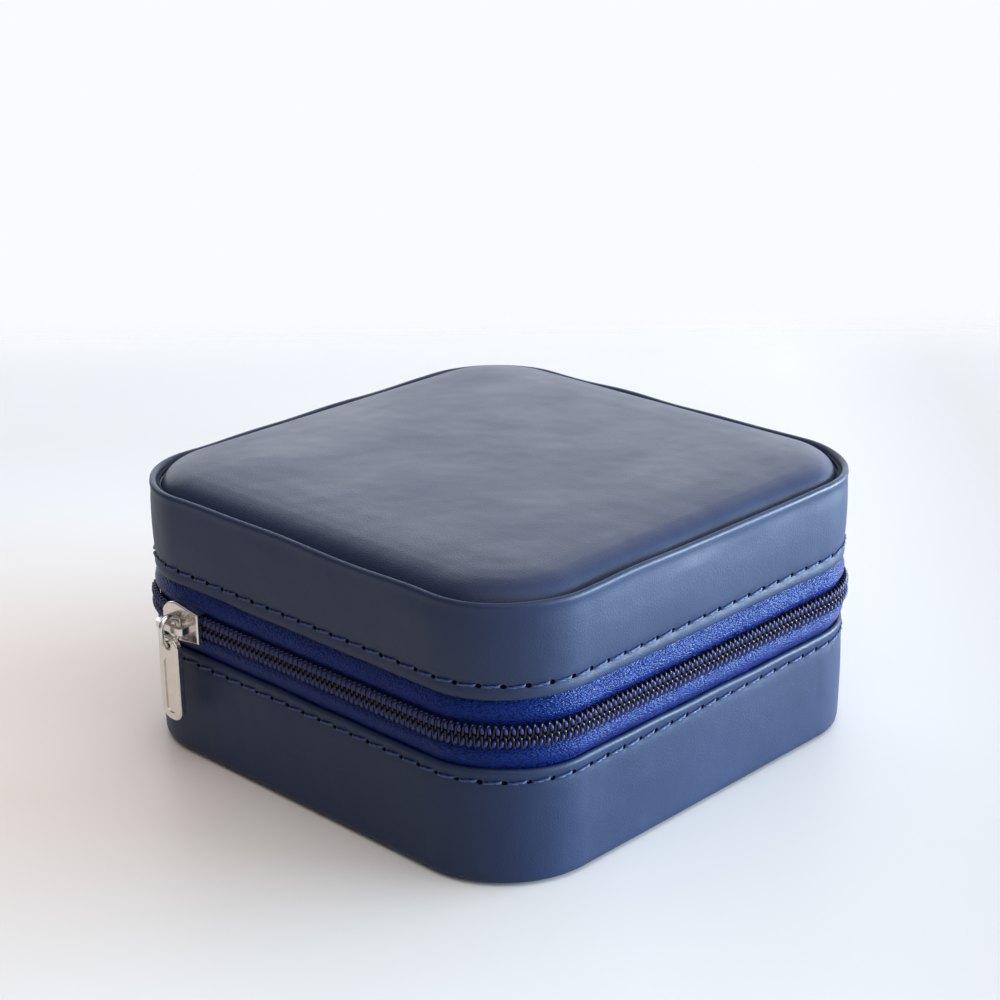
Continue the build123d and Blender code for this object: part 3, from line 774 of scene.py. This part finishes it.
def seam(name, section, level, body, pitch=2.0, inset=0.9, keep=None):
    """Small stitches along a loop that lies in a downward face at height level."""
    loop, normal = section
    path = loop - normal * inset
    closed = np.vstack([path, path[:1]])
    run = np.concatenate([[0], np.cumsum(np.linalg.norm(np.diff(closed, axis=0), axis=1))])
    count = int(run[-1] / pitch)
    t = np.linspace(-1, 1, 7)
    bag = Bag()
    for k in range(count):
        at = np.mod((k + 0.5 + 0.36 * t) * run[-1] / count, run[-1])
        flat = np.stack([np.interp(at, run, closed[:, j]) for j in (0, 1)], -1)
        if keep and not keep(*flat[3]):
            continue
        dip = level - 0.10 * (1 - t**4) + 0.12 * t**8
        radius = SEAM_RADIUS * (1 - 0.4 * t**6)
        rings = tube_rings(np.column_stack([flat, dip]), radius, 6, (0, 0, 1))
        bag.grid(rings, wrap_cols=True)
    made = bag.mesh(name, stitch_thread, body)


def soften(piece, shift, passes=10):
    """Evens a shift out between neighbouring vertices, so only broad folds stay."""
    edges = np.array([edge.vertices[:] for edge in piece.data.edges])
    ends, starts = np.concatenate([edges, edges[:, ::-1]]).T
    count = np.bincount(ends, minlength=len(shift))[:, None]
    for _ in range(passes):
        total = np.stack([np.bincount(ends, shift[starts, k], len(shift)) for k in range(3)], -1)
        shift = 0.4 * shift + 0.6 * total / count
    return shift


CLOTH_FRAMES = 20


def relax(jobs):
    """One short cloth simulation for all padded pieces; a capped part of each shift is kept."""
    scene = bpy.context.scene
    for job in jobs:
        held = job.piece.vertex_groups.new(name="held")
        for index, value in enumerate(job.hold):
            held.add([index], float(value), "REPLACE")
        cloth = job.piece.modifiers.new("cloth", "CLOTH")
        setting = cloth.settings
        setting.quality = 6
        setting.mass = 0.3
        setting.tension_stiffness = setting.compression_stiffness = 18
        setting.shear_stiffness = 6
        setting.bending_stiffness = 0.6
        setting.shrink_min = 0.0
        setting.use_pressure = True
        setting.uniform_pressure_force = job.pressure
        setting.vertex_group_mass = "held"
        setting.pin_stiffness = 0.35
        setting.effector_weights.gravity = 0
        cloth.collision_settings.use_collision = False
        cloth.point_cache.frame_start, cloth.point_cache.frame_end = 1, CLOTH_FRAMES
    for number in range(1, CLOTH_FRAMES + 1):
        scene.frame_set(number)
    graph = bpy.context.evaluated_depsgraph_get()
    for job in jobs:
        moved = np.array([vert.co for vert in job.piece.evaluated_get(graph).data.vertices]) / MM
        shift = soften(job.piece, moved - job.rest)
        size = np.linalg.norm(shift, axis=1)
        kept = np.minimum(size, job.cap) / np.maximum(size, 1e-9) * job.freedom
        made = (job.rest + shift * kept[:, None]) * MM
        job.piece.data.vertices.foreach_set("co", made.astype(np.float32).ravel())
        job.piece.data.update()
    scene.frame_set(1)
    for job in jobs:
        job.piece.modifiers.remove(job.piece.modifiers["cloth"])


def subdivide(piece):
    soft = piece.modifiers.new("smooth", "SUBSURF")
    soft.levels = soft.render_levels = 1


once_round = np.linspace(0, LENGTH, 360, endpoint=False)
bottom_loop = outline(once_round, -1.62)
bottom_edge = [(-3.0, 0.78), (-0.5, 0.78), (-0.08, 0.66), (0.0, 0.4), (-0.12, 0.12), (-0.5, 0.0),
               (-3.0, 0.0)]
finish_piece(plate("bottom_leather", bottom_loop, bottom_edge, thin_leather, "base", 20),
             "navy_leather", "base_panel")
lining_loop = outline(once_round, -LINER_IN - 0.03)
floor_edge = [(-1.6, 4.2), (-0.7, 4.19), (-0.12, 4.0), (0.0, 3.7), (-0.1, 3.35), (-0.8, 3.22),
              (-2.0, 3.22)]
ceiling_edge = [(-2.0, 44.18), (-0.8, 44.18), (-0.1, 44.05), (0.0, 43.7), (-0.12, 43.4), (-0.7, 43.21),
                (-1.6, 43.2)]
finish_piece(plate("floor_velvet", lining_loop, floor_edge, wall_velvet, "base", 24, 51, 0.06),
             "velvet", "base_floor_pad")
finish_piece(plate("ceiling_velvet", lining_loop, ceiling_edge, wall_velvet, "lid", 24, 52, 0.04),
             "velvet", "lid_ceiling_pad")


def lining(name, root, ledge, tip, seed, body, node_name):
    """Wall lining: velvet with a ledge over the board's edge, rolled over at its free edge."""
    up = math.copysign(1, tip - root)
    profile = [
        (-3.08, root), (-3.08, (root + ledge) / 2), (-3.08, ledge - up), (-3.05, ledge + 0.05 * up),
        (-2.9, ledge + 0.08 * up), (-1.6, ledge + 0.08 * up), (-1.46, ledge + 0.2 * up),
        (-1.46, ledge + 0.42 * up), (-1.6, ledge + 0.55 * up), (-2.85, ledge + 0.6 * up),
        (-3.06, ledge + 0.85 * up), (-3.06, tip - 0.5 * up), (-3.2, tip - 0.12 * up), (-3.5, tip),
        (-3.8, tip - 0.12 * up), (-3.96, tip - 0.5 * up), (-3.97, (root + tip) / 2), (-3.97, root),
    ]

    def wobble(s, out, z):
        return -0.5 * np.clip(-out - 3.1, 0, 1) * (0.05 + ripple(s, 0.09, seed, (11, 17, 29))), 0 * z

    made = band(name, profile, wall_velvet, body, count=60, wobble=wobble, step=1.2)
    finish_piece(made, "velvet", node_name)


lining("base_lining", 3.3, BASE_TOP, 25.7, 53, "base", "base_liner")
lining("lid_lining", 44.1, LID_BOTTOM, 26.7, 54, "lid", "lid_liner")

ROLL_COUNT = 7
ROLL_TOP = 20.5
ROLL_BOTTOM = PAD_TOP + 0.03
ROLL_END = -1.2  # where the rolls meet the main divider
ROLL_PITCH = 2 * (SIDE / 2 - LINER_IN) / ROLL_COUNT
padded = [padded_top()]
for number in range(ROLL_COUNT):
    roll_y = (number - (ROLL_COUNT - 1) / 2) * ROLL_PITCH
    wide = ROLL_PITCH - 0.42
    section = rounded_loop((roll_y, (ROLL_BOTTOM + ROLL_TOP) / 2), (wide, ROLL_TOP - ROLL_BOTTOM),
                           (0.7, wide / 2 - 0.05), step=0.95)
    far_left = -reach_inside(section[0][:, 0], SEAT)
    roll, points = bar(f"velvet_roll_{number + 1}", 0, far_left, ROLL_END, section, roll_velvet,
                       stations=44, round_end=1.3, seed=60 + number, lump=0.10)
    ends = np.minimum(points[:, 0] + SIDE / 2 - SEAT, ROLL_END - points[:, 0])
    upper = np.clip((points[:, 2] - 13) / 4, 0, 1) * np.clip(ends / 3, 0, 1)
    hold = np.where(upper < 0.05, 1.0, 0.14 + lumps(points, 70 + number, 16, 0.08))
    padded.append(Padding(roll, points, hold, 2.5, 0.45, upper))
relax(padded)
top, *rolls = [job.piece for job in padded]
for piece in (top, *rolls):
    subdivide(piece)
    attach(piece, "lid" if piece is top else "base")
finish_piece(top, "navy_leather", "lid_panel", "lid_foam")
for number, roll in enumerate(rolls):
    finish_piece(roll, "velvet", f"ring_roll_{number + 1}")

WALL_REACH = SIDE / 2 - SEAT
upright = rounded_loop((0, 11.6), (1.98, 14.76), (0.25, 0.95), step=0.45)
divider, _ = bar("velvet_divider", 1, -WALL_REACH, WALL_REACH, upright, wall_velvet, "base",
                 round_end=0.4, seed=81, lump=0.05)
finish_piece(divider, "velvet", "main_divider")
for cross_y, word, seed in ((-15.0, "front", 82), (15.0, "back", 83)):
    upright = rounded_loop((cross_y, 11.3), (1.98, 14.16), (0.25, 0.95), step=0.45)
    divider, _ = bar(f"velvet_cross_{word}", 0, 1.16, WALL_REACH, upright, wall_velvet,
                     f"{word}_divider", round_end=0.4, seed=seed, lump=0.05)
    finish_piece(divider, "velvet", f"cross_divider_{word}")

# -------- lid fittings
TAB_PIVOT_Y = -38.5
strip_loop = rounded_loop((0, TAB_PIVOT_Y + 1.5), (65.9, 6.9), (1.5, 1.5), step=0.6)
strip_edge = [(-1.2, 43.18), (-0.5, 43.17), (-0.08, 43.05), (0.0, 42.7), (-0.1, 42.28), (-0.45, 42.13),
              (-1.2, 42.12)]
finish_piece(plate("necklace_strip_leather", strip_loop, strip_edge, thin_leather, "lid", 4, 91, 0.02),
             "navy_leather", "necklace_strip")
seam("necklace_strip_stitches", strip_loop, 42.13, "lid")
tab_edge = [(-1.2, 42.03), (-0.5, 42.02), (-0.1, 41.9), (0.0, 41.55), (-0.1, 41.2), (-0.45, 41.08),
            (-1.2, 41.07)]
for tab_x, word in ((-23.0, "left"), (0.0, "middle"), (23.0, "right")):
    tab_loop = rounded_loop((tab_x, TAB_PIVOT_Y + 8), (8.9, 15.9), (3.0, 3.0), step=0.6)
    made = plate(f"necklace_tab_{word}_leather", tab_loop, tab_edge, thin_leather, f"{word}_tab",
                 5, 92, 0.02)
    finish_piece(made, "navy_leather", f"necklace_tab_{word}")
    seam(f"necklace_tab_{word}_stitches", tab_loop, 41.08, f"{word}_tab", pitch=1.8)

POCKET_X = 38.0
POCKET_FRONT, POCKET_BACK = 10.0, 41.0
POCKET_DEPTH = 2.3


def pocket_level(x, y):
    """Height of the pocket's cloth: low in the middle, seamed up at three sides, ruffled in front."""
    side = POCKET_X - np.abs(x)
    drop = POCKET_DEPTH * (1 - np.exp(-np.minimum(side, POCKET_BACK - y) / 1.1))
    fade = 0.12 + 0.88 * np.clip((POCKET_BACK - y) / (POCKET_BACK - POCKET_FRONT), 0, 1) ** 1.7
    pleat = 0.26 * np.sin(x * 2.05 + 1.6 * np.sin(x * 0.31 + 0.8)) + 0.12 * np.sin(x * 0.83 + y * 0.1)
    return CEILING - 0.06 - drop - pleat * fade * drop / POCKET_DEPTH


def pocket():
    """The gathered pocket with its elastic band."""
    x = np.linspace(-POCKET_X, POCKET_X, 260)[None, :]
    y = np.linspace(POCKET_BACK, POCKET_FRONT, 44)[:, None]
    x, y = x + 0 * y, y + 0 * x
    low = pocket_level(x, y)
    high = np.minimum(low + 0.5, CEILING - 0.03)
    lip = np.stack([x[-1], y[-1] - 0.22, (low[-1] + high[-1]) / 2], -1)
    rows = np.concatenate([np.stack([x, y, low], -1), lip[None], np.stack([x, y, high], -1)[::-1]])
    bag = Bag()
    bag.grid(rows)
    finish_piece(bag.mesh("pocket_velvet", wall_velvet, "lid"), "velvet", "chain_pocket")
    along = np.linspace(-POCKET_X + 0.4, POCKET_X - 0.4, 300)
    level = pocket_level(along, 0 * along + 14.0)
    loop, _ = rounded_loop((11.8, 0), (3.0, 0.44), (0.2, 0.2), step=0.3)
    points = np.zeros((len(along), len(loop), 3))
    points[..., 0] = along[:, None]
    points[..., 1] = loop[None, :, 0]
    points[..., 2] = loop[None, :, 1] + level[:, None] - 0.42 + 0.05 * np.sin(along * 3.1)[:, None]
    bag = Bag()
    bag.grid(points, wrap_cols=True, uv=(np.append(along, along[-1]), np.arange(len(loop) + 1) * 0.3))
    finish_piece(bag.mesh("elastic_band", elastic_cloth, "lid"), "elastic", "pocket_elastic")


pocket()
pocket_loop = rounded_loop((0, (POCKET_FRONT + POCKET_BACK) / 2),
                           (2 * POCKET_X, POCKET_BACK - POCKET_FRONT), (0.5, 0.5), step=0.6)
seam("pocket_stitches", pocket_loop, CEILING - 0.12, "lid", inset=-0.1,
     keep=lambda x, y: y > POCKET_FRONT + 0.5)

# -------- stage
VIEW_AZIMUTH = math.radians(-45.682)
VIEW_ELEVATION = math.radians(20.570)
VIEW_ROLL = math.radians(-0.712)

back = Vector((
    math.sin(VIEW_AZIMUTH) * math.cos(VIEW_ELEVATION),
    -math.cos(VIEW_AZIMUTH) * math.cos(VIEW_ELEVATION),
    math.sin(VIEW_ELEVATION),
))
camera_data = bpy.data.cameras.new("camera")
camera_data.lens = 79.794
camera_data.sensor_width = 36.0
camera_data.clip_start = 0.01
camera_data.clip_end = 20
camera = bpy.data.objects.new("camera", camera_data)
bpy.context.scene.collection.objects.link(camera)
camera.location = Vector((-260.163, -254.159, 178.387)) * MM
camera.rotation_mode = "QUATERNION"
turned = (-back).to_track_quat("-Z", "Y")
camera.rotation_quaternion = turned @ Euler((0, 0, VIEW_ROLL)).to_quaternion()
bpy.context.scene.camera = camera

away = Vector((-back.x, -back.y, 0)).normalized()
right = Vector((away.y, -away.x, 0))


def floor():
    """A glossy white table whose far edge fades out softly."""
    made, shader, node, link = material("white_table")
    coord = node("ShaderNodeTexCoord")
    cloud = node("ShaderNodeTexNoise", Scale=6.0, Detail=2.0)
    link(coord.outputs["Object"], cloud.inputs["Vector"])
    link(spread(node, link, cloud.outputs["Fac"], 0.34, 0.42), shader.inputs["Roughness"])
    tune(shader, Specular_IOR_Level=0.06)
    split = node("ShaderNodeSeparateXYZ")
    link(coord.outputs["Object"], split.inputs["Vector"])
    # Painted shade: the white is a little warm and darker beside the case, a painted warm shadow, and a
    # little deeper to the right and far away, a painted fall-off of light.
    reach = node("ShaderNodeVectorMath", operation="DISTANCE")
    reach.inputs[1].default_value = (-0.085, 0.0, 0.0)
    link(coord.outputs["Object"], reach.inputs[0])
    warm_shade_falloff = spread(node, link, reach.outputs["Value"], 0, 1, 0.03, 0.12)
    painted_dimming = node("ShaderNodeMath", operation="MAXIMUM")
    link(spread(node, link, split.outputs["X"], 0, 1, 0.02, 0.12), painted_dimming.inputs[0])
    link(spread(node, link, split.outputs["Y"], 0, 0.6, 0.02, 0.16), painted_dimming.inputs[1])
    dimmed_white = mix_colour(node, link, painted_dimming.outputs["Value"], (0.825, 0.82, 0.815), (0.56, 0.53, 0.51))
    warm_shade_mix = node("ShaderNodeMix", data_type="RGBA")
    link(warm_shade_falloff, warm_shade_mix.inputs["Factor"])
    warm_shade_mix.inputs["A"].default_value = (0.775, 0.69, 0.63, 1)
    link(dimmed_white, warm_shade_mix.inputs["B"])
    link(warm_shade_mix.outputs["Result"], shader.inputs["Base Color"])
    far = node("ShaderNodeVectorMath", operation="LENGTH")
    link(coord.outputs["Object"], far.inputs[0])
    both = node("ShaderNodeMath", operation="MULTIPLY")
    link(spread(node, link, split.outputs["Y"], 1, 0, 0.205, 0.275, "SMOOTHSTEP"), both.inputs[0])
    link(spread(node, link, far.outputs["Value"], 1, 0, 0.5, 0.8), both.inputs[1])
    link(both.outputs["Value"], shader.inputs["Alpha"])
    data = bpy.data.meshes.new("table")
    data.from_pydata([(-3, -3, 0), (3, -3, 0), (3, 3, 0), (-3, 3, 0)], [], [(0, 1, 2, 3)])
    data.materials.append(made)
    table = bpy.data.objects.new("table", data)
    bpy.context.scene.collection.objects.link(table)
    table.rotation_euler = (0, 0, math.atan2(-away.x, away.y))
    table.location.z = -0.0001


def lamp(name, place_at, width, height, power, colour):
    """A soft rectangular lamp that faces the case and can't be seen itself."""
    data = bpy.data.lights.new(name, "AREA")
    data.shape = "RECTANGLE"
    data.size, data.size_y = width, height
    data.energy = power
    data.color = colour
    made = bpy.data.objects.new(name, data)
    bpy.context.scene.collection.objects.link(made)
    made.location = place_at
    made.visible_camera = False
    made.rotation_mode = "QUATERNION"
    made.rotation_quaternion = (centre - place_at).to_track_quat("-Z", "Y")


floor()
centre = Vector((0, 0, 0.03))
up = Vector((0, 0, 1))
lamp("window", centre + right * 0.95 + away * 0.03 + up * 0.07, 1.0, 0.2, 33.0, (0.62, 0.83, 1.0))
lamp("side_window", centre + right * 0.72 - away * 0.69 + up * 0.22, 0.26, 0.5, 1.2, (0.8, 0.9, 1.0))
lamp("ceiling", centre + right * 0.2 - away * 0.45 + up * 0.95, 1.3, 1.1, 5.0, (1.0, 0.98, 0.95))
lamp("back_wall", centre + away * 1.2 + up * 0.45, 2.6, 0.9, 16.0, (0.86, 0.91, 1.0))


def studio_world():
    """White wall for the camera; for light, a sky that is blue-white to the right and dim left."""
    world = bpy.data.worlds.new("studio")
    bpy.context.scene.world = world
    world.use_nodes = True
    tree = world.node_tree
    node, link = node_maker(tree), tree.links.new
    sky = tree.nodes["Background"]
    coord = node("ShaderNodeTexCoord")
    dot = node("ShaderNodeVectorMath", operation="DOT_PRODUCT")
    dot.inputs[1].default_value = (right * 0.75 + away * 0.25 + up * 0.5).normalized()
    link(coord.outputs["Generated"], dot.inputs[0])
    shade = spread(node, link, dot.outputs["Value"], 0, 1, -0.75, 0.75, "SMOOTHSTEP")
    link(mix_colour(node, link, shade, (0.165, 0.14, 0.12), (0.66, 0.68, 0.72)), sky.inputs["Color"])
    seen = node("ShaderNodeBackground", Color=(0.955, 0.965, 1.0, 1))
    rays = node("ShaderNodeLightPath")
    mixer = node("ShaderNodeMixShader")
    link(rays.outputs["Is Camera Ray"], mixer.inputs["Fac"])
    link(sky.outputs[0], mixer.inputs[1])
    link(seen.outputs[0], mixer.inputs[2])
    link(mixer.outputs[0], tree.nodes["World Output"].inputs["Surface"])


studio_world()
bpy.context.scene.view_settings.view_transform = "Standard"
